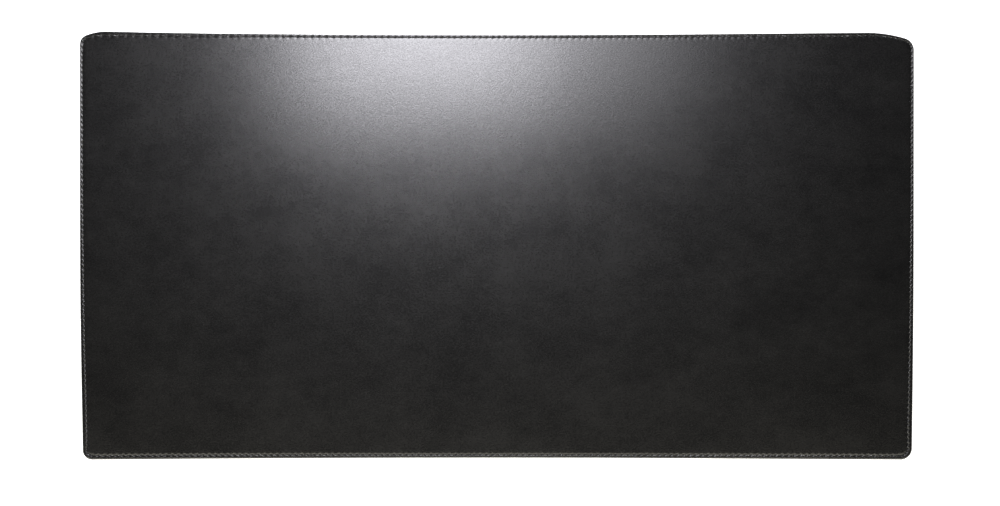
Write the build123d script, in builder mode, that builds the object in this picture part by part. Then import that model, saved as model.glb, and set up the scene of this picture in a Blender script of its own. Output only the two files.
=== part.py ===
from build123d import *
import os

# A stitched desk mat with a turned edge. A sheet of leather covers a padded board, wraps its rounded
# rim and is turned under as a hem. A suede backing hides the hem, and one lockstitch seam runs all
# the way round through every layer.
# Millimetres. +X along the width, +Y towards the back edge, +Z up. The origin is the centre of the
# underside, on the desk.

# Overall size
width = 800
depth = 411

# Layers, from the desk up
backing_thickness = 0.8
hem_thickness = 0.7
board_thickness = 1.2
foam_thickness = 1.0
leather_thickness = 1.3

# Turned edge
rim_radius = 2.0
hem_radius = 1.2
padding_radius = 0.9
board_radius = 0.5
hem_width = 13
infill_gap = 0.5
backing_inset = 2.0

# Outline. The long sides bow inwards, the short sides draw in towards the front, and no two of the
# hand-turned corners are alike.
back_bow = 4.6
back_bow_x = -45
front_bow = 1.9
front_bow_x = -120
left_draw_in = 3
right_draw_in = 2
side_bend_y = -55
back_left_run = 16
back_left_drop = 6
back_right_run = 28
back_right_drop = 8
back_right_slip = 1.1

back_left_radii = (50, 9)
back_right_radii = (125, 12)
front_left_radius = 9
front_right_radius = 11
back_bow_radius = 24000
front_bow_radius = 42000
left_bend_radius = 8600
right_bend_radius = 14000

# Seam
seam_margin = 3.6
back_pitch_left = 8.1
back_pitch_right = 6.0
side_pitch = 4.8
front_pitch = 5.9
corner_pitch = 2.6
corner_turn = 12
needle_hole_radius = 0.7
leg_offset_along = 0.2
leg_offset_across = 0.29
leg_gap = 0.1

# Needle thread on the top face, bobbin thread on the underside. Each lies in a flat-bottomed groove
# that its tension has pressed in, clear of both faces of the mat.
needle_thread_half = 0.24
needle_groove_depth = 0.7
needle_groove_half_width = 0.85
needle_shoulder_radius = 0.5
bobbin_thread_half = 0.18
bobbin_groove_depth = 0.46
bobbin_groove_half_width = 0.8
bobbin_shoulder_radius = 0.3
thread_clearance = 0.04

# Heights that follow from the layers
hem_top = backing_thickness + hem_thickness
board_top = hem_top + board_thickness
foam_top = board_top + foam_thickness
mat_top = foam_top + leather_thickness
knot_height = (hem_top + board_top) / 2
needle_bar_height = mat_top - needle_groove_depth + thread_clearance + needle_thread_half
bobbin_bar_height = bobbin_groove_depth - thread_clearance - bobbin_thread_half

half_width = width / 2
half_depth = depth / 2

# Corner points of the outline, anticlockwise from the front left, each with its rounding radius
outline_corners = [
    ((-half_width + left_draw_in, -half_depth), front_left_radius),
    ((front_bow_x, -half_depth + front_bow), front_bow_radius),
    ((half_width - right_draw_in, -half_depth), front_right_radius),
    ((half_width, side_bend_y), right_bend_radius),
    ((half_width, half_depth - back_right_slip - back_right_drop), back_right_radii[1]),
    ((half_width - back_right_run, half_depth - back_right_slip), back_right_radii[0]),
    ((back_bow_x, half_depth - back_bow), back_bow_radius),
    ((-half_width + back_left_run, half_depth), back_left_radii[0]),
    ((-half_width, half_depth - back_left_drop), back_left_radii[1]),
    ((-half_width, side_bend_y), left_bend_radius),
]


def mat_outline(height, inset=0):
    """The mat's outline as a flat face at this height, moved in from the edge by inset."""
    with BuildSketch(Plane.XY.offset(height)) as outline:
        with BuildLine():
            FilletPolyline(
                *[point for point, radius in outline_corners],
                radius=[radius for point, radius in outline_corners],
                close=True,
            )
        make_face()
        if inset:
            offset(amount=-inset)
    return outline.sketch


def seam_groove(height, half_width):
    """A band along the seam, as wide as the groove that the thread lies in."""
    with BuildSketch(Plane.XY.offset(height)) as groove:
        add(mat_outline(height, seam_margin - half_width).face())
        add(mat_outline(height, seam_margin + half_width).face(), mode=Mode.SUBTRACT)
    return groove.sketch


def groove_shoulders(part, height, half_width):
    """The groove's two lips, where it leaves the face of the part at this height."""
    lips = [mat_outline(height, seam_margin + side * half_width).wire() for side in (-1, 1)]
    face_edges = part.edges().filter_by_position(Axis.Z, height, height)
    return [edge for edge in face_edges if min(lip.distance_to(edge @ 0.5) for lip in lips) < 0.001]


def stitch_length(seam, distance):
    """Length of the stitch that starts at this distance along the seam."""
    point = seam.position_at(distance / seam.length)
    heading = seam.tangent_at(distance / seam.length)
    ahead = seam.tangent_at(min(1, (distance + side_pitch) / seam.length))
    if heading.get_angle(ahead) > corner_turn:
        return corner_pitch
    if abs(point.X) > half_width - 2 * seam_margin:
        return side_pitch
    if point.Y < 0:
        return front_pitch
    share_of_left_half = min(1, (point.X + half_width) / half_width)
    return back_pitch_left + (back_pitch_right - back_pitch_left) * share_of_left_half


def needle_hole_shares(seam):
    """Places of the needle holes along the seam, as shares of its length."""
    distances = [0]
    while distances[-1] < seam.length:
        distances.append(distances[-1] + stitch_length(seam, distances[-1]))
    return [distance / distances[-1] for distance in distances[:-1]]


def stitch(seam, share, next_share, half, bar_height, knot):
    """One stitch: out of a needle hole, across the face at a slant, and back in at the next hole.
    It is a flat-sided staple, which keeps the hundreds of stitches light."""
    ends = []
    for place, way in ((share, 1), (next_share, -1)):
        along = seam.tangent_at(place)
        across = Vector(-along.Y, along.X)
        ends.append(seam.position_at(place) + (along * leg_offset_along + across * leg_offset_across) * way)
    length = (ends[1] - ends[0]).length
    face = abs(bar_height - knot)
    up = Vector(0, 0, bar_height - knot).normalized()
    forward = (ends[1] - ends[0]).normalized()
    with BuildPart() as one_stitch:
        with BuildSketch(Plane(ends[0] + Vector(0, 0, knot), x_dir=forward, z_dir=forward.cross(up))):
            with BuildLine():
                Polyline(
                    (-half, 0),
                    (half, 0),
                    (half, face - half),
                    (length - half, face - half),
                    (length - half, 0),
                    (length + half, 0),
                    (length + half, face + half),
                    (-half, face + half),
                    close=True,
                )
            make_face()
        extrude(amount=half, both=True)
    return one_stitch.part


seam = mat_outline(0, seam_margin).wire()
hole_shares = needle_hole_shares(seam)
stitch_spans = list(zip(hole_shares, hole_shares[1:] + hole_shares[:1]))
print(len(stitch_spans), "stitches on a seam of", round(seam.length), "mm")

# All the needle holes, as one tool that each pierced layer is cut with
with BuildPart() as needle_holes:
    with BuildSketch():
        with Locations(*[seam.position_at(share) for share in hole_shares]):
            Circle(needle_hole_radius)
    extrude(amount=mat_top)

# The space inside the leather, which the board and its padding fill
with BuildPart() as core_space:
    extrude(mat_outline(hem_top, leather_thickness), amount=foam_top - hem_top)
    fillet(core_space.edges().group_by(Axis.Z)[-1], radius=padding_radius)
    fillet(core_space.edges().group_by(Axis.Z)[0], radius=board_radius)

# Stiff board that keeps the mat flat
with BuildPart() as core_board:
    add(core_space.part)
    split(bisect_by=Plane.XY.offset(board_top), keep=Keep.BOTTOM)
    add(needle_holes.part, mode=Mode.SUBTRACT)
core_board.part.label = "core_board"

# Thin foam on the board, under the writing surface
with BuildPart() as foam_padding:
    add(core_space.part)
    split(bisect_by=Plane.XY.offset(board_top), keep=Keep.TOP)
    add(needle_holes.part, mode=Mode.SUBTRACT)
foam_padding.part.label = "foam_padding"

# Leather over the padded board, round its rim and turned under as a hem
with BuildPart() as leather_cover:
    extrude(mat_outline(backing_thickness), amount=mat_top - backing_thickness)
    fillet(leather_cover.edges().group_by(Axis.Z)[-1], radius=rim_radius)
    fillet(leather_cover.edges().group_by(Axis.Z)[0], radius=hem_radius)
    add(core_space.part, mode=Mode.SUBTRACT)
    extrude(mat_outline(backing_thickness, hem_width), amount=hem_thickness, mode=Mode.SUBTRACT)
    extrude(seam_groove(mat_top, needle_groove_half_width), amount=-needle_groove_depth, mode=Mode.SUBTRACT)
    fillet(
        groove_shoulders(leather_cover.part, mat_top, needle_groove_half_width),
        radius=needle_shoulder_radius,
    )
    add(needle_holes.part, mode=Mode.SUBTRACT)
leather_cover.part.label = "leather_cover"

# Card as thick as the hem, which levels the underside inside it
with BuildPart() as infill_card:
    extrude(mat_outline(backing_thickness, hem_width + infill_gap), amount=hem_thickness)
infill_card.part.label = "infill_card"

# Suede backing that grips the desk and hides the hem
with BuildPart() as backing_sheet:
    extrude(mat_outline(0, backing_inset), amount=backing_thickness)
    extrude(seam_groove(0, bobbin_groove_half_width), amount=bobbin_groove_depth, mode=Mode.SUBTRACT)
    fillet(
        groove_shoulders(backing_sheet.part, 0, bobbin_groove_half_width),
        radius=bobbin_shoulder_radius,
    )
    add(needle_holes.part, mode=Mode.SUBTRACT)
backing_sheet.part.label = "backing_sheet"

# The two threads of the lockstitch, which lock together inside the board
with BuildPart() as needle_thread:
    add(
        [
            stitch(seam, share, next_share, needle_thread_half, needle_bar_height,
                   knot_height + leg_gap / 2)
            for share, next_share in stitch_spans
        ]
    )
needle_thread.part.label = "needle_thread"

with BuildPart() as bobbin_thread:
    add(
        [
            stitch(seam, share, next_share, bobbin_thread_half, bobbin_bar_height,
                   knot_height - leg_gap / 2)
            for share, next_share in stitch_spans
        ]
    )
bobbin_thread.part.label = "bobbin_thread"

os.makedirs("parts", exist_ok=True)
export_step(leather_cover.part, "parts/leather_cover.step")
export_step(foam_padding.part, "parts/foam_padding.step")
export_step(core_board.part, "parts/core_board.step")
export_step(infill_card.part, "parts/infill_card.step")
export_step(backing_sheet.part, "parts/backing_sheet.step")
export_step(needle_thread.part, "parts/needle_thread.step")
export_step(bobbin_thread.part, "parts/bobbin_thread.step")
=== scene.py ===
import math
import bpy
import bmesh
from mathutils import Matrix, Vector, noise
from mathutils.kdtree import KDTree


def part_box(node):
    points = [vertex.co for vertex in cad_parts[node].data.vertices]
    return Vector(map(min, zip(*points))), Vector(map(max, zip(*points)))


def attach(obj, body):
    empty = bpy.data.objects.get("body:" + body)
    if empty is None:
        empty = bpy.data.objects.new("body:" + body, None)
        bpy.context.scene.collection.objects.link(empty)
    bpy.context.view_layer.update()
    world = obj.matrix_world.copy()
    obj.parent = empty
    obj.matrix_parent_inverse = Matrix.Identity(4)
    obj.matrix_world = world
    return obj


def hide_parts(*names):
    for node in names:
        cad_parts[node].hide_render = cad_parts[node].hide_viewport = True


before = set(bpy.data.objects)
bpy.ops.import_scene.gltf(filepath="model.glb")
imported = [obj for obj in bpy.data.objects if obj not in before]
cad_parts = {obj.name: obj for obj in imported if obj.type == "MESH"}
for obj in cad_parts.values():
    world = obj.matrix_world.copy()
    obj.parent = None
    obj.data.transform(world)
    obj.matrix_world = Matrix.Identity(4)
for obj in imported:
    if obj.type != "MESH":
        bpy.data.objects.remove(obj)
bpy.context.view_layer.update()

mm = 0.001
weld = 0.01 * mm                  # points nearer than this are joined
hair = 0.001 * mm                 # the least distance that counts
noiseRange = (0.35, 0.65)         # where nearly all the values of a noise lie
coverLow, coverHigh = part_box("leather_cover")
boardLow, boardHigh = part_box("core_board")
foamLow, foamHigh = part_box("foam_padding")
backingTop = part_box("backing_sheet")[1].z


class Shade:
    # wraps a socket, so that shader maths reads as Python
    def __init__(self, nodes, socket):
        self.nodes = nodes
        self.socket = socket

    def math(self, operation, *values):
        return self.nodes.node("ShaderNodeMath", {"operation": operation}, dict(enumerate(values)))

    def __add__(self, other):
        return self.math("ADD", self, other)

    def __radd__(self, other):
        return self.math("ADD", other, self)

    def __sub__(self, other):
        return self.math("SUBTRACT", self, other)

    def __rsub__(self, other):
        return self.math("SUBTRACT", other, self)

    def __mul__(self, other):
        return self.math("MULTIPLY", self, other)

    def __rmul__(self, other):
        return self.math("MULTIPLY", other, self)

    def __pow__(self, other):
        return self.math("POWER", self, other)

    def clipped(self):
        return self.math("MINIMUM", self.math("MAXIMUM", self, 0.0), 1.0)


class Nodes:
    # a node tree, and the one way in which nodes are added to it
    def __init__(self, tree):
        self.tree = tree

    def node(self, kind, settings=None, inputs=None, output=0):
        made = self.tree.nodes.new(kind)
        for key, value in (settings or {}).items():
            if key == "stops":
                for number, (position, colour) in enumerate(value):
                    stops = made.color_ramp.elements
                    stop = stops[number] if number < 2 else stops.new(position)
                    stop.position = position
                    stop.color = (*colour, 1.0)
            else:
                setattr(made, key, value)
        for key, value in (inputs or {}).items():
            if isinstance(value, Shade):
                self.tree.links.new(value.socket, made.inputs[key])
            else:
                made.inputs[key].default_value = value
        return Shade(self, made.outputs[output])


class Finish(Nodes):
    # one material, built round its Principled shader
    def __init__(self, name, **fixed):
        self.material = bpy.data.materials.new(name)
        self.material.use_nodes = True
        super().__init__(self.material.node_tree)
        self.shader = next(n for n in self.tree.nodes if n.type == "BSDF_PRINCIPLED")
        for socket, value in fixed.items():
            self.shader.inputs[socket.replace("_", " ")].default_value = value

    def place(self, stretch=(1.0, 1.0, 1.0)):
        where = self.node("ShaderNodeTexCoord", output="Object")
        return self.node("ShaderNodeMapping", {}, {"Vector": where, "Scale": stretch})

    def grain(self, where, size, detail=2.0, rough=0.5):
        # noise from 0 to 1, with features of about this size in metres
        sockets = {"Vector": where, "Scale": 1 / size, "Detail": detail, "Roughness": rough}
        return self.node("ShaderNodeTexNoise", {}, sockets)

    def cells(self, where, size, feature="F1"):
        sockets = {"Vector": where, "Scale": 1 / size}
        return self.node("ShaderNodeTexVoronoi", {"feature": feature}, sockets, "Distance")

    def painted(self, name):
        # a value stored on the piece's own points
        return self.node("ShaderNodeAttribute", {"attribute_name": name}, output="Fac")

    def span(self, value, low, high):
        # 0 at low, 1 at high
        return self.node("ShaderNodeMapRange", {}, {"Value": value, "From Min": low, "From Max": high})

    def blend(self, factor, first, second):
        sockets = {0: factor, 6: self.colour(first), 7: self.colour(second)}
        return self.node("ShaderNodeMix", {"data_type": "RGBA"}, sockets, 2)

    def colour(self, value):
        return value if isinstance(value, Shade) else (*value, 1.0)

    def feed(self, socket, value):
        self.tree.links.new(value.socket, self.shader.inputs[socket])

    def relief(self, height, depth, strength=1.0, below=None):
        sockets = {"Height": height, "Distance": depth, "Strength": strength}
        if below:
            sockets["Normal"] = below
        return self.node("ShaderNodeBump", {}, sockets)


leatherLook = {
    "dark": (0.0036, 0.0036, 0.0037),
    "light": (0.0070, 0.0069, 0.0068),
    # painted shade: the near-black colour put inside each needle hole, where light doesn't reach
    "paintedHoleShade": (0.0008, 0.0008, 0.0008),
    "grainStretch": (0.70, 1.0, 1.0),
    "pebble": 1.0 * mm,
    "swirl": 2 * mm,
    "wander": 0.55 * mm,          # how far the pebbles stray from a regular pattern
    "pore": 0.34 * mm,
    "speckle": 1.3 * mm,
    "dapple": 9 * mm,
    "cloud": 55 * mm,
    "shadeShares": (0.4, 0.3, 0.3),           # of cloud, dapple and speckle
    "roughness": 0.27,
    "roughShares": (0.07, 0.05, 0.24, 0.06),  # of cloud, dapple, speckle and pore
    "holeRough": 0.6,
    "rimGloss": 0.01,
    "reliefShares": (0.6, 0.4),               # of pebble and pore
    "fineRelief": 0.026 * mm,
    "speckleRelief": 0.055 * mm,
    "dappleRelief": 0.022 * mm,
}


def leatherFinish():
    look = leatherLook
    leather = Finish("blackLeather", Specular_IOR_Level=0.5)
    where = leather.place(look["grainStretch"])
    swirlSockets = {"Vector": where, "Scale": 1 / look["swirl"], "Detail": 2.0}
    swirl = leather.node("ShaderNodeTexNoise", {}, swirlSockets, "Color")
    wanderSockets = {0: swirl, "Scale": look["wander"]}
    wander = leather.node("ShaderNodeVectorMath", {"operation": "SCALE"}, wanderSockets)
    strayed = leather.node("ShaderNodeVectorMath", {"operation": "ADD"}, {0: where, 1: wander})
    pebble = leather.cells(strayed, look["pebble"]) ** 2
    pore = leather.grain(where, look["pore"], 3.0, 0.6)
    speckle = leather.grain(where, look["speckle"], 3.0, 0.7)
    dapple = leather.grain(where, look["dapple"], 4.0, 0.55)
    cloud = leather.grain(where, look["cloud"], 3.0, 0.55)
    # mask of the painted shade round each needle hole, stored on the cover's points
    hole = leather.painted("holePaintedShade").clipped()
    rim = leather.painted("rim").clipped()

    cloudShare, dappleShare, speckleShare = look["shadeShares"]
    shade = leather.span(cloud * cloudShare + dapple * dappleShare + speckle * speckleShare, *noiseRange)
    skin = leather.blend(shade.clipped(), look["dark"], look["light"])
    # painted shade: the colour goes almost black inside the needle holes
    leather.feed("Base Color", leather.blend(hole, skin, look["paintedHoleShade"]))

    rough = look["roughness"] + hole * look["holeRough"] - rim * look["rimGloss"]
    for pattern, share in zip((cloud, dapple, speckle, pore), look["roughShares"]):
        rough = rough + (pattern - 0.5) * share
    leather.feed("Roughness", rough.clipped())

    pebbleShare, poreShare = look["reliefShares"]
    fine = leather.relief((1 - pebble) * pebbleShare + pore * poreShare, look["fineRelief"])
    broad = leather.relief(speckle, look["speckleRelief"], 1.0, fine)
    leather.feed("Normal", leather.relief(dapple, look["dappleRelief"], 1.0, broad))
    return leather.material


threadLook = {
    "dark": (0.012, 0.012, 0.013),
    "light": (0.036, 0.036, 0.037),
    "fibre": 0.12 * mm,
    "stretch": 9 * mm,            # length over which the gloss changes
    "roughness": 0.26,
    "fibreRough": 0.14,
    "stretchRough": 0.08,
    "fibreRelief": 0.02 * mm,
}


def threadFinish():
    look = threadLook
    thread = Finish("blackThread", Specular_IOR_Level=1.0, Coat_Weight=0.2, Coat_Roughness=0.4)
    where = thread.place()
    fibre = thread.grain(where, look["fibre"], 2.0)
    stretch = thread.grain(where, look["stretch"], 1.0)
    thread.feed("Base Color", thread.blend(fibre, look["dark"], look["light"]))
    rough = look["roughness"] + fibre * look["fibreRough"] + stretch * look["stretchRough"]
    thread.feed("Roughness", rough.clipped())
    thread.feed("Normal", thread.relief(fibre, look["fibreRelief"], 0.7))
    return thread.material


suedeLook = {
    "dark": (0.012, 0.012, 0.013),
    "light": (0.040, 0.040, 0.043),
    "fibre": 0.35 * mm,
    "tuft": 2.2 * mm,
    "brushed": 28 * mm,
    "brushStretch": (0.35, 1.0, 1.0),
    "brushRange": (0.38, 0.62),
    "toneShares": (0.35, 0.25, 0.4),          # of fibre, tuft and brushed streaks
    "roughness": 0.86,
    "fibreRough": 0.12,
    "fibreRelief": 0.10 * mm,
    "tuftRelief": 0.12 * mm,
}


def suedeFinish():
    look = suedeLook
    suede = Finish("blackSuede", Specular_IOR_Level=0.15, Sheen_Weight=0.35, Sheen_Roughness=0.45)
    where = suede.place()
    streaks = suede.place(look["brushStretch"])
    fibre = suede.grain(where, look["fibre"], 4.0, 0.65)
    tuft = suede.grain(where, look["tuft"], 3.0, 0.6)
    brushed = suede.span(suede.grain(streaks, look["brushed"], 3.0, 0.6), *look["brushRange"]).clipped()
    fibreShare, tuftShare, brushedShare = look["toneShares"]
    tone = fibre * fibreShare + tuft * tuftShare + brushed * brushedShare
    suede.feed("Base Color", suede.blend(tone, look["dark"], look["light"]))
    suede.feed("Roughness", (look["roughness"] + fibre * look["fibreRough"]).clipped())
    fine = suede.relief(fibre, look["fibreRelief"], 0.9)
    suede.feed("Normal", suede.relief(tuft, look["tuftRelief"], 0.5, fine))
    return suede.material


foamLook = {
    "inCell": (0.30, 0.29, 0.26),
    "wall": (0.66, 0.65, 0.60),
    "cell": 0.45 * mm,
    "patch": 30 * mm,
    "roughness": 0.85,
    "patchRough": 0.1,
    "cellRelief": 0.15 * mm,
}


def foamFinish():
    look = foamLook
    foam = Finish("paddingFoam", Specular_IOR_Level=0.2)
    where = foam.place()
    cell = foam.cells(where, look["cell"])
    patch = foam.grain(where, look["patch"], 2.0)
    foam.feed("Base Color", foam.blend(cell.clipped(), look["inCell"], look["wall"]))
    foam.feed("Roughness", (look["roughness"] + patch * look["patchRough"]).clipped())
    foam.feed("Normal", foam.relief(cell, look["cellRelief"]))
    return foam.material


boardLook = {
    "fibre": 0.8 * mm,
    "fibreStretch": (0.25, 1.0, 1.0),
    "pulp": 5 * mm,
    "toneShares": (0.6, 0.4),                 # of fibre and pulp
    "fleckColour": (0.10, 0.09, 0.08),
    "fleckEdge": 0.12,            # as a share of the spacing of the flecks
    "fleckStrength": 0.6,
    "roughness": 0.78,
    "fibreRough": 0.15,
    "fibreRelief": 0.05 * mm,
}


def boardFinish(name, dark, light, fleckSpacing):
    # pressed fibre board: long pale fibres in a grey or tan sheet
    look = boardLook
    board = Finish(name, Specular_IOR_Level=0.25)
    fibres = board.grain(board.place(look["fibreStretch"]), look["fibre"], 4.0, 0.7)
    flecks = board.cells(board.place(), fleckSpacing)
    pulp = board.grain(board.place(), look["pulp"], 4.0)
    fibreShare, pulpShare = look["toneShares"]
    tone = board.span(fibres * fibreShare + pulp * pulpShare, *noiseRange).clipped()
    fleckMask = board.span(flecks, look["fleckEdge"], 0.0).clipped() * look["fleckStrength"]
    sheet = board.blend(tone, dark, light)
    board.feed("Base Color", board.blend(fleckMask, sheet, look["fleckColour"]))
    board.feed("Roughness", (look["roughness"] + fibres * look["fibreRough"]).clipped())
    board.feed("Normal", board.relief(fibres, look["fibreRelief"], 0.6))
    return board.material


outline = {
    "step": 0.8 * mm,
    "coarseStep": 4 * mm,         # where nobody sees the edge
    "coarseNet": 60 * mm,
    # corner points in millimetres, anticlockwise from the front left, each with its rounding radius
    "corners": [
        (-397, -205.5, 9), (-120, -203.6, 42000), (398, -205.5, 11), (400, -55, 14000),
        (400, 196.4, 12), (372, 204.4, 125), (-45, 200.9, 24000), (-384, 205.5, 50),
        (-400, 199.5, 9), (-400, -55, 8600),
    ],
}


def sideways(direction):
    return Vector((-direction.y, direction.x, 0))


def outlineFace(bm, height, inset=0.0, step=outline["step"]):
    # traces the mat's outline with a pen: a spin round each corner and a straight run to the next
    points = [(Vector((x, y, 0)) * mm, radius * mm) for x, y, radius in outline["corners"]]
    arcs = []
    for number, (point, radius) in enumerate(points):
        before = (point - points[number - 1][0]).normalized()
        after = (points[(number + 1) % len(points)][0] - point).normalized()
        turn = math.atan2(before.cross(after).z, before.dot(after))
        start = point - before * radius * math.tan(abs(turn) / 2)
        centre = start + sideways(before) * math.copysign(radius, turn)
        arcs.append((start + sideways(before) * inset, centre, turn, radius))
    pen = bm.verts.new(arcs[0][0])
    for number, (start, centre, turn, radius) in enumerate(arcs):
        steps = max(4, round(radius * abs(turn) / step))
        spun = bmesh.ops.spin(bm, geom=[pen], cent=centre, axis=(0, 0, 1), angle=turn, steps=steps)
        pen = next(part for part in spun["geom_last"] if isinstance(part, bmesh.types.BMVert))
        goal = arcs[(number + 1) % len(arcs)][0]
        run = bmesh.ops.extrude_vert_indiv(bm, verts=[pen])
        cuts = round((goal - pen.co).length / step) - 1
        pen = run["verts"][0]
        pen.co = goal
        if cuts > 0:
            # the cuts renumber the points, so the pen is found again
            bmesh.ops.subdivide_edges(bm, edges=run["edges"], cuts=cuts)
            loose = [vert for vert in bm.verts if not vert.link_faces]
            pen = min(loose, key=lambda vert: (vert.co - goal).length)
    loop = [vert for vert in bm.verts if not vert.link_faces]
    bmesh.ops.remove_doubles(bm, verts=loop, dist=weld)
    edges = [edge for edge in bm.edges if edge.is_wire]
    face = bmesh.ops.edgeloop_fill(bm, edges=edges)["faces"][0]
    bmesh.ops.translate(bm, verts=list(face.verts), vec=(0, 0, height))
    return face


def moveTo(bm, face, height):
    verts = list(face.verts)
    bmesh.ops.translate(bm, verts=verts, vec=(0, 0, height - verts[0].co.z))


def stepIn(bm, face, inset, height):
    # one ring: the open face shrinks by inset and moves to this height
    bmesh.ops.inset_region(bm, faces=[face], thickness=inset, use_even_offset=True)
    moveTo(bm, face, height)


def followRings(bm, face, rings, start=0.0, layer=None):
    # rings are (distance from the edge, height), and the layer keeps the distance
    for distance, height in rings:
        stepIn(bm, face, distance - start, height)
        start = distance
        if layer:
            for vert in face.verts:
                vert[layer] = distance


def prism(bm, bottom, low, high):
    # a wall from the bottom face up to a new top face
    made = bmesh.ops.extrude_face_region(bm, geom=[bottom], use_keep_orig=True)
    top = next(part for part in made["geom"] if isinstance(part, bmesh.types.BMFace))
    moveTo(bm, bottom, low)
    moveTo(bm, top, high)
    return top


def openUp(bm, face):
    # a last ring, drawn in to the hem's edge; then the face is removed, which leaves a loop
    shape = coverShape
    bmesh.ops.inset_region(bm, faces=[face], thickness=shape["hemLip"], use_even_offset=True)
    reached = shape["hemFlat"][-1] + shape["hemLip"]
    factors = [(half - shape["hemWidth"]) / (half - reached) for half in coverHigh.xy]
    bmesh.ops.scale(bm, verts=list(face.verts), vec=(*factors, 1.0))
    bmesh.ops.delete(bm, geom=[face], context="FACES_ONLY")


def rule(bm, face, spacing):
    # divides a wide face into a net of squares
    low = Vector([min(vert.co[axis] for vert in face.verts) for axis in range(3)])
    high = Vector([max(vert.co[axis] for vert in face.verts) for axis in range(3)])
    part = [face, *face.edges, *face.verts]
    for axis in (0, 1):
        normal = Vector((1 - axis, axis, 0))
        count = round((high[axis] - low[axis]) / spacing)
        for number in range(1, count):
            spot = normal * (low[axis] + (high[axis] - low[axis]) * number / count)
            cut = bmesh.ops.bisect_plane(bm, geom=part, plane_co=spot, plane_no=normal, dist=hair)
            part = cut["geom"]


def finishPiece(bm, name, material, smooth=True):
    bmesh.ops.recalc_face_normals(bm, faces=bm.faces)
    mesh = bpy.data.meshes.new(name)
    bm.to_mesh(mesh)
    bm.free()
    piece = bpy.data.objects.new(name, mesh)
    bpy.context.scene.collection.objects.link(piece)
    mesh.materials.append(material)
    for polygon in mesh.polygons:
        polygon.use_smooth = smooth
    print(name, len(mesh.polygons), "faces")
    return piece


def stitchEnds(node):
    # where each stitch of a CAD thread node starts and ends, from the feet of its two legs
    bm = bmesh.new()
    bm.from_mesh(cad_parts[node].data)
    bmesh.ops.remove_doubles(bm, verts=bm.verts, dist=hair)
    knot = boardLow.z + (boardHigh.z - boardLow.z) / 2
    unseen = set(bm.verts)
    ends = []
    for first in list(bm.verts):
        if first not in unseen:
            continue
        stack = [first]
        unseen.discard(first)
        stitch = []
        while stack:
            vert = stack.pop()
            stitch.append(vert.co.copy())
            for edge in vert.link_edges:
                other = edge.other_vert(vert)
                if other in unseen:
                    unseen.discard(other)
                    stack.append(other)
        feet = sorted(stitch, key=lambda spot: abs(spot.z - knot))[:8]    # four corners at each foot
        middle = sum(feet, Vector()) / len(feet)
        way = (feet[0] - middle).to_2d()
        near = [foot for foot in feet if (foot - middle).to_2d().dot(way) > 0]
        far = [foot for foot in feet if (foot - middle).to_2d().dot(way) <= 0]
        ends.append((sum(near, Vector()) / len(near), sum(far, Vector()) / len(far)))
    bm.free()
    print(node, len(ends), "stitches")
    return ends


# Distances are from the edge of the mat, and heights from the desk
coverShape = {
    "roll": 1.25 * mm,            # width of the rolled part of the rim
    "rollTop": 4.72 * mm,
    "rollTurn": math.radians(76),
    "rollRings": 5,
    "rimFoot": 2.6 * mm,          # where the rolled rim meets the side
    "crest": 2.55 * mm,           # the highest line of the rim
    "crestTop": 4.82 * mm,
    "seam": 3.6 * mm,
    "valley": 4.52 * mm,          # the bottom of the seam line
    "shoulder": 1.10 * mm,        # from the seam to the level panel
    "shoulderCurve": 1.4,
    "seamRings": 13,
    "outerRings": (5.9 * mm, 7.1 * mm, 8.4 * mm),
    "hemCurve": 1.2 * mm,
    "hemTurns": (30, 60, 90),
    "hemFlat": (3 * mm, 5.5 * mm),
    "hemLip": 0.5 * mm,
    "hemWidth": 13 * mm,
    "wall": 1.3 * mm,
    "netSize": 9 * mm,
    "holeDepth": 0.60 * mm,
    "holeSize": 0.78 * mm,
    # how far the painted shade round each needle hole reaches
    "holeShade": 0.82 * mm,
    "pull": 0.10 * mm,            # how far each stitch draws the rim down beside its holes
    "pullSize": 2.1 * mm,
    "rimFade": (1.2 * mm, 0.4 * mm),          # how far outside the seam the rim's gathers die away
    "pleat": 0.16 * mm,
    "pleatSize": 3.2 * mm,
    "pleatReach": 30 * mm,        # how far from a corner the gathers go
    "unevenness": 0.055 * mm,
    # waves of the panel: length, width, slice of the noise, share
    "waves": [(110 * mm, 80 * mm, 3.1, 1.0), (34 * mm, 27 * mm, 7.7, 0.35)],
}

# How far in from its even margin the seam strays, in millimetres, by the place in metres along each side
seamPath = {
    "back": [
        (-0.37, 0.4), (-0.30, 0.1), (-0.21, -0.8), (0.05, -1.0), (0.25, -1.1), (0.33, -0.3), (0.39, -0.8),
    ],
    "front": [(-0.37, 0.2), (0.0, -0.3), (0.37, 0.2)],
    "sides": [(-0.19, 1.0), (-0.05, 0.1), (0.08, -0.7), (0.19, -0.9)],
    "reach": 22 * mm,             # how far round a corner each side still counts
    "rise": (0.2 * mm, 2.3 * mm),             # the rim follows the seam from here inwards
    "fall": (5.0 * mm, 8.4 * mm),             # and the panel stops following it here
}


def smoothly(value, low, high):
    share = min(1.0, max(0.0, (value - low) / (high - low)))
    return share * share * (3 - 2 * share)


def readPath(path, place):
    result = path[0][1]
    for (start, first), (end, last) in zip(path, path[1:]):
        if place > start:
            result = first + (last - first) * smoothly(place, start, end)
    return result * mm


def seamDrift(spot, inset):
    # the inward shift, at this place, of something that lies this far inside the edge
    weight = smoothly(inset, *seamPath["rise"]) * (1 - smoothly(inset, *seamPath["fall"]))
    aside = max(0.0, 1 - (coverHigh.x - abs(spot.x)) / seamPath["reach"])
    ahead = max(0.0, 1 - (coverHigh.y - abs(spot.y)) / seamPath["reach"])
    if weight == 0 or aside + ahead == 0:
        return Vector()
    row = readPath(seamPath["back" if spot.y > 0 else "front"], spot.x)
    shift = (readPath(seamPath["sides"], spot.y) * aside + row * ahead) / (aside + ahead)
    inward = Vector((-math.copysign(aside, spot.x), -math.copysign(ahead, spot.y), 0)).normalized()
    return inward * shift * weight


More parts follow.
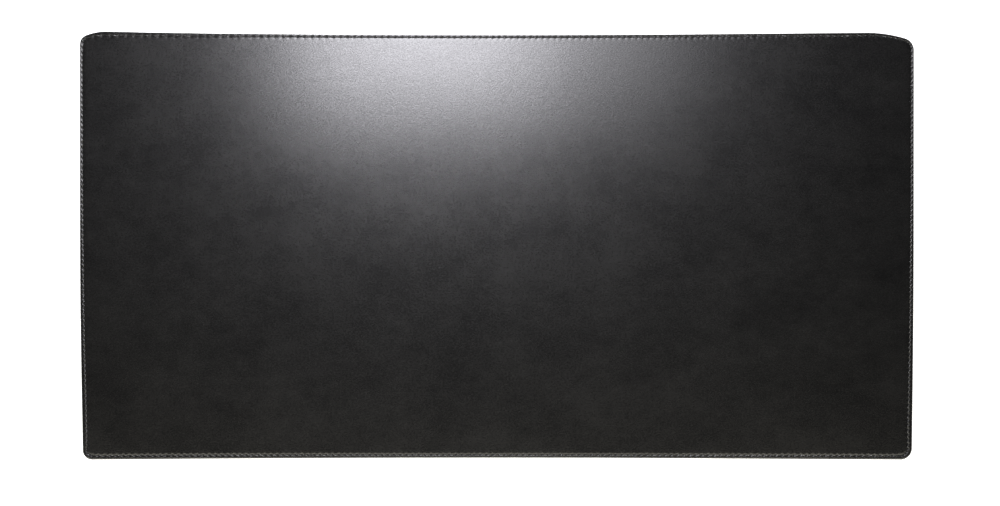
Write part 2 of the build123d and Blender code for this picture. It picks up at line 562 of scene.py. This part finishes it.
def coverHeight(distance):
    # up to the crest of the rim, down into the seam line, and up to the level panel
    shape = coverShape
    if distance <= shape["crest"]:
        share = (distance - shape["roll"]) / (shape["crest"] - shape["roll"])
        return shape["rollTop"] + (shape["crestTop"] - shape["rollTop"]) * math.sin(math.pi / 2 * share)
    if distance <= shape["seam"]:
        share = (distance - shape["crest"]) / (shape["seam"] - shape["crest"])
        fall = (1 - math.cos(math.pi * share)) / 2
        return shape["crestTop"] + (shape["valley"] - shape["crestTop"]) * fall
    share = min(1.0, (distance - shape["seam"]) / shape["shoulder"])
    climb = math.sin(math.pi / 2 * share) ** shape["shoulderCurve"]
    return shape["valley"] + (coverHigh.z - shape["valley"]) * climb


def coverRings():
    shape = coverShape
    rings = []
    for number in range(1, shape["rollRings"] + 1):
        angle = shape["rollTurn"] * number / shape["rollRings"]
        height = (shape["rollTop"] - shape["rimFoot"]) * math.sin(angle) / math.sin(shape["rollTurn"])
        distance = shape["roll"] * (1 - math.cos(angle)) / (1 - math.cos(shape["rollTurn"]))
        rings.append((distance, shape["rimFoot"] + height))
    reach = shape["seam"] + shape["shoulder"] - shape["roll"]
    for number in range(1, shape["seamRings"] + 1):
        distance = shape["roll"] + reach * number / shape["seamRings"]
        rings.append((distance, coverHeight(distance)))
    return rings + [(distance, coverHigh.z) for distance in shape["outerRings"]]


def hemRings():
    curve = coverShape["hemCurve"]
    rings = []
    for turn in map(math.radians, coverShape["hemTurns"]):
        rings.append((curve * (1 - math.cos(turn)), coverLow.z + curve * (1 - math.sin(turn))))
    return rings + [(distance, coverLow.z) for distance in coverShape["hemFlat"]]


def makeCover(holes):
    shape = coverShape
    bm = bmesh.new()
    for layer in ("holePaintedShade", "rim", "inset"):
        bm.verts.layers.float.new(layer)
    bottom = outlineFace(bm, 0)
    top = prism(bm, bottom, coverLow.z + shape["hemCurve"], shape["rimFoot"])
    followRings(bm, bottom, hemRings())
    openUp(bm, bottom)
    followRings(bm, top, coverRings(), 0.0, bm.verts.layers.float["inset"])
    rule(bm, top, shape["netSize"])
    pressSeam(bm, holes)
    bm.from_mesh(innerSpace())
    bmesh.ops.bridge_loops(bm, edges=[edge for edge in bm.edges if edge.is_boundary])
    return bm


# The rings round a padded top are (distance from the edge, drop below the top)
innerShape = {
    "padCurve": 0.9 * mm,
    "topRings": [(1.6 * mm, 0.3 * mm), (2.2 * mm, 0.0)],
}


def padRings(rings):
    return [(distance, foamHigh.z - drop) for distance, drop in rings]


def innerSpace():
    # the room inside the leather, which the padded board fills
    shape = innerShape
    wall = coverShape["wall"]
    bm = bmesh.new()
    floor = outlineFace(bm, 0, wall, outline["coarseStep"])
    roof = prism(bm, floor, boardLow.z, foamHigh.z - shape["padCurve"])
    followRings(bm, floor, [(coverShape["hemFlat"][-1], boardLow.z)], wall)
    openUp(bm, floor)
    followRings(bm, roof, padRings(shape["topRings"]), wall)
    rule(bm, roof, outline["coarseNet"])
    mesh = bpy.data.meshes.new("innerSpace")
    bm.to_mesh(mesh)
    bm.free()
    return mesh


def nearCorner(spot):
    # 1 at a corner of the mat, fading to 0 as far as the gathers go
    gap = Vector((coverHigh.x - abs(spot.x), coverHigh.y - abs(spot.y)))
    return max(0.0, 1 - gap.length / coverShape["pleatReach"])


def pleatPush(spot):
    # the gathers that form where leather is turned round a corner
    shape = coverShape
    away = Vector((spot.x, spot.y, 0)).normalized()
    ripple = noise.noise(Vector((spot.x / shape["pleatSize"], spot.y / shape["pleatSize"], 1.3)))
    return away * ripple * nearCorner(spot) * shape["pleat"]


def surfaceWave(spot):
    total = 0.0
    for length, width, level, share in coverShape["waves"]:
        total += noise.noise(Vector((spot.x / length, spot.y / width, level))) * share
    return total


def pressSeam(bm, holes):
    # moves the seam line, sinks the needle holes, and gives the rim and the panel their unevenness
    shape = coverShape
    holeShadeLayer = bm.verts.layers.float["holePaintedShade"]
    rimLayer = bm.verts.layers.float["rim"]
    insetLayer = bm.verts.layers.float["inset"]
    fadeStart, fadeEnd = [shape["seam"] - outside for outside in shape["rimFade"]]
    tree = KDTree(len(holes))
    for number, hole in enumerate(holes):
        tree.insert((hole.x, hole.y, 0), number)
    tree.balance()
    for vert in bm.verts:
        push = pleatPush(vert.co)
        if vert.co.z < shape["rimFoot"] + 0.1 * mm:
            vert.co += push
            continue
        inset = vert[insetLayer]
        rim = 1 - smoothly(inset, fadeStart, fadeEnd)
        vert[rimLayer] = rim
        vert.co += seamDrift(vert.co, inset) + push * rim
        gap = tree.find((vert.co.x, vert.co.y, 0))[2]
        # painted shade round each needle hole, stored for the leather's colour
        vert[holeShadeLayer] = math.exp(-(gap / shape["holeShade"]) ** 4)
        vert.co.z -= math.exp(-(gap / shape["holeSize"]) ** 2) * shape["holeDepth"]
        vert.co.z -= math.exp(-(gap / shape["pullSize"]) ** 2) * shape["pull"]
        vert.co.z += surfaceWave(vert.co) * shape["unevenness"]


stitchShape = {
    "sides": 6,
    "sections": 9,
    "length": 5.0 * mm,           # of the model stitch, before it is fitted between two holes
    "dip": 0.90 * mm,             # how far each end goes down its hole
    "thick": 0.45 * mm,           # radius of the thread where it lies on the face
    "pinched": 0.24 * mm,         # and in the hole
    "lobe": 0.84,                 # the plies leave a lobed section
    "twist": 30,                  # degrees a section turns from the one before
    "slant": 5,                   # degrees more than the holes alone give
    "clear": 0.72 * mm,           # between the middle of a leg and the end of the stitch's bar
    "liftCurve": 0.4,             # how squarely the thread comes up out of a hole
    "runCurve": 0.55,
    "leanCurve": 3,
    "needleHeight": coverShape["valley"] + 0.06 * mm,
    "bobbinHeight": 0.24 * mm,
    "bobbinThinner": 0.5,
}


def modelStitch(thinner=1.0):
    # one twisted thread, out of a hole, along the face and down the next
    shape = stitchShape
    frames = []
    for number in range(shape["sections"]):
        share = number / (shape["sections"] - 1)
        lift = math.sin(math.pi * share) ** shape["liftCurve"]
        swing = abs(math.cos(math.pi * share))
        side = math.copysign(1, 0.5 - share)
        size = shape["pinched"] + (shape["thick"] - shape["pinched"]) * lift
        lean = math.radians(90) * side * swing ** shape["leanCurve"]
        turn = Matrix.Rotation(math.radians(shape["twist"] * number), 4, "Z")
        along = shape["length"] * (0.5 - 0.5 * side * swing ** shape["runCurve"])
        spot = Matrix.Translation((along, 0, shape["dip"] * (lift - 1)))
        facing = Matrix.Rotation(math.radians(90) - lean, 4, "Y")
        frames.append(spot @ facing @ turn @ Matrix.Scale(size * thinner, 4))
    bm = bmesh.new()
    made = bmesh.ops.create_circle(bm, cap_ends=True, radius=1.0, segments=shape["sides"])
    for vert in made["verts"][::2]:
        vert.co *= shape["lobe"]
    bmesh.ops.transform(bm, matrix=frames[0], verts=made["verts"])
    face = bm.faces[:][0]
    for before, after in zip(frames, frames[1:]):
        grown = bmesh.ops.extrude_face_region(bm, geom=[face], use_keep_orig=before is frames[0])
        face = next(part for part in grown["geom"] if isinstance(part, bmesh.types.BMFace))
        bmesh.ops.transform(bm, matrix=after @ before.inverted(), verts=list(face.verts))
    bmesh.ops.recalc_face_normals(bm, faces=bm.faces)
    mesh = bpy.data.meshes.new("modelStitch")
    bm.to_mesh(mesh)
    bm.free()
    return mesh


def makeThread(ends, height, model, upright):
    # the model stitch, fitted between every pair of holes
    bm = bmesh.new()
    for start, end in ends:
        if start.cross(end).z < 0:
            start, end = end, start
        if upright:
            start = start + seamDrift(start, coverShape["seam"])
            end = end + seamDrift(end, coverShape["seam"])
        along = (end - start).to_2d()
        along -= along.normalized() * 2 * stitchShape["clear"]
        middle = (start + end) / 2
        bm.from_mesh(model)
        verts = list(bm.verts)[-len(model.vertices):]
        heading = math.atan2(along.y, along.x) - math.radians(stitchShape["slant"])
        fit = (
            Matrix.Translation((middle.x, middle.y, height))
            @ Matrix.Rotation(heading, 4, "Z")
            @ Matrix.Rotation(0 if upright else math.pi, 4, "X")
            @ Matrix.Scale(along.length / stitchShape["length"], 4, (1, 0, 0))
            @ Matrix.Translation((-stitchShape["length"] / 2, 0, 0))
        )
        bmesh.ops.transform(bm, matrix=fit, verts=verts)
    return bm


backingShape = {
    "inset": 2.0 * mm,
    "edge": 0.22 * mm,            # size of the worn lower edge
    "edgeRound": 0.35,
    "channel": 0.42 * mm,         # depth of the line that the seam presses in
    "channelReach": 1.1 * mm,
    "channelRings": 4,            # on each side of the seam
    "netSize": 24 * mm,
}


def makeBacking():
    shape = backingShape
    bm = bmesh.new()
    bottom = outlineFace(bm, 0, shape["inset"])
    top = prism(bm, bottom, shape["edge"], backingTop)
    nearEdge = shape["edge"] * shape["edgeRound"]
    rings = [(shape["inset"] + nearEdge, nearEdge), (shape["inset"] + shape["edge"], 0)]
    for number in range(-shape["channelRings"], shape["channelRings"] + 1):
        share = number / shape["channelRings"]
        depth = shape["channel"] * (1 + math.cos(math.pi * share)) / 2
        rings.append((coverShape["seam"] + share * shape["channelReach"], depth))
    followRings(bm, bottom, rings, shape["inset"])
    rule(bm, bottom, shape["netSize"])
    rule(bm, top, outline["coarseNet"])
    return bm


foamShape = {
    "padCurve": 0.9 * mm,
    "topRings": [(1.65 * mm, 0.35 * mm), (2.3 * mm, 0.02 * mm)],
}


def makeFoam():
    # fills the room under the leather, with its upper edge rounded off
    shape = foamShape
    wall = coverShape["wall"]
    bm = bmesh.new()
    bottom = outlineFace(bm, 0, wall, outline["coarseStep"])
    top = prism(bm, bottom, foamLow.z, foamHigh.z - shape["padCurve"])
    followRings(bm, top, padRings(shape["topRings"]), wall)
    rule(bm, top, outline["coarseNet"])
    rule(bm, bottom, outline["coarseNet"])
    return bm


leather = leatherFinish()
thread = threadFinish()
suede = suedeFinish()
print("finishes made")

needleEnds = stitchEnds("needle_thread")
bobbinEnds = stitchEnds("bobbin_thread")
holes = [end + seamDrift(end, coverShape["seam"]) for pair in needleEnds for end in pair]

needleSeam = makeThread(needleEnds, stitchShape["needleHeight"], modelStitch(), True)
bobbinModel = modelStitch(stitchShape["bobbinThinner"])
bobbinSeam = makeThread(bobbinEnds, stitchShape["bobbinHeight"], bobbinModel, False)

cover = finishPiece(makeCover(holes), "leatherCover", leather)
backing = finishPiece(makeBacking(), "suedeBacking", suede)
foam = finishPiece(makeFoam(), "foamSheet", foamFinish())
needleStitches = finishPiece(needleSeam, "needleStitches", thread)
bobbinStitches = finishPiece(bobbinSeam, "bobbinStitches", thread)

pieces = [
    (cover, "leather_cover", "cover_leather"),
    (backing, "backing_sheet", "backing_suede"),
    (foam, "foam_padding", "padding_foam"),
    (needleStitches, "needle_thread", "sewing_thread"),
    (bobbinStitches, "bobbin_thread", "sewing_thread"),
]
for piece, node, slot in pieces:
    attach(piece, "root")
    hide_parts(node)

boards = {
    "core_board": boardFinish("greyBoard", (0.20, 0.19, 0.18), (0.34, 0.33, 0.31), 3 * mm),
    "infill_card": boardFinish("tanCard", (0.34, 0.28, 0.20), (0.52, 0.45, 0.35), 4 * mm),
}
for node, finish in boards.items():
    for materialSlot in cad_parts[node].material_slots:
        materialSlot.material = finish
print("pieces made")


coolWhite = (0.95, 0.94, 1.0)
warmWhite = (1.0, 0.96, 0.82)
studio = {
    "sensor": 36.0,               # width in mm
    "cameraHeight": 1.7,
    "cameraSpot": (0.0030, -0.0072),
    "frameWidth": 0.9580,         # metres of the mat's top that the picture spans
    "floorRadius": 9.0,
    "floorHeight": -0.3 * mm,
    "floorGlow": 1.0,
    "floorDark": (0.86, 0.86, 0.86),
    "floorLight": (0.88, 0.88, 0.88),
    "floorPatch": 0.4,
    # how bright the sky is, by the height of the look
    "sky": [(0.12, (0.35, 0.35, 0.35)), (0.55, (0.02, 0.02, 0.02))],
    # each lamp's place, size, watts, colour and the point that it faces
    "lamps": {
        "key": ((-0.107, 0.417, 0.65), (0.316, 0.452), 11.3, coolWhite, (-0.107, 0.25, 0)),
        "keySkirt": ((0.131, 0.417, 0.65), (0.22, 0.452), 1.8, coolWhite, (0.131, 0.25, 0)),
        "front": ((-0.05, -0.80, 0.65), (1.8, 0.7), 15.0, warmWhite, (-0.05, -0.2, 0)),
    },
}


def panelLight(name, spot, size, power, colour, goal):
    light = bpy.data.lights.new(name, "AREA")
    light.shape = "RECTANGLE"
    light.size, light.size_y = size
    light.energy = power
    light.color = colour
    lamp = bpy.data.objects.new(name, light)
    lamp.location = spot
    lamp.rotation_euler = (Vector(goal) - Vector(spot)).to_track_quat("-Z", "Y").to_euler()
    lamp.visible_camera = False
    bpy.context.scene.collection.objects.link(lamp)


def makeStage():
    bm = bmesh.new()
    bmesh.ops.create_circle(bm, cap_ends=True, radius=studio["floorRadius"], segments=96)
    bmesh.ops.translate(bm, verts=bm.verts, vec=(0, 0, studio["floorHeight"]))
    glow = {"Emission_Color": (1.0, 1.0, 1.0, 1.0), "Emission_Strength": studio["floorGlow"]}
    paper = Finish("studioPaper", Roughness=0.9, Specular_IOR_Level=0.1, **glow)
    patch = paper.grain(paper.place(), studio["floorPatch"], 2.0)
    beneath = paper.node("ShaderNodeNewGeometry", output="Backfacing")
    paper.feed("Alpha", 1 - beneath)      # the floor isn't there for a look from below
    paper.feed("Base Color", paper.blend(patch, studio["floorDark"], studio["floorLight"]))
    floor = finishPiece(bm, "studioFloor", paper.material, False)


def makeSky():
    # pale all round the horizon, dark overhead
    world = bpy.data.worlds.new("studioSky")
    world.use_nodes = True
    sky = Nodes(world.node_tree)
    where = sky.node("ShaderNodeTexCoord", output="Generated")
    height = sky.node("ShaderNodeSeparateXYZ", {}, {"Vector": where}, "Z")
    tone = sky.node("ShaderNodeValToRGB", {"stops": studio["sky"]}, {"Fac": height})
    sky.tree.links.new(tone.socket, sky.tree.nodes["Background"].inputs["Color"])
    bpy.context.scene.world = world


def makeCamera():
    lens = bpy.data.cameras.new("overhead")
    lens.sensor_width = studio["sensor"]
    lens.lens = lens.sensor_width * (studio["cameraHeight"] - coverHigh.z) / studio["frameWidth"]
    camera = bpy.data.objects.new("overhead", lens)
    camera.location = (*studio["cameraSpot"], studio["cameraHeight"])
    bpy.context.scene.collection.objects.link(camera)
    bpy.context.scene.camera = camera


makeStage()
makeSky()
makeCamera()
for name, lamp in studio["lamps"].items():
    panelLight(name, *lamp)
bpy.context.scene.view_settings.view_transform = "Standard"
print("stage made")
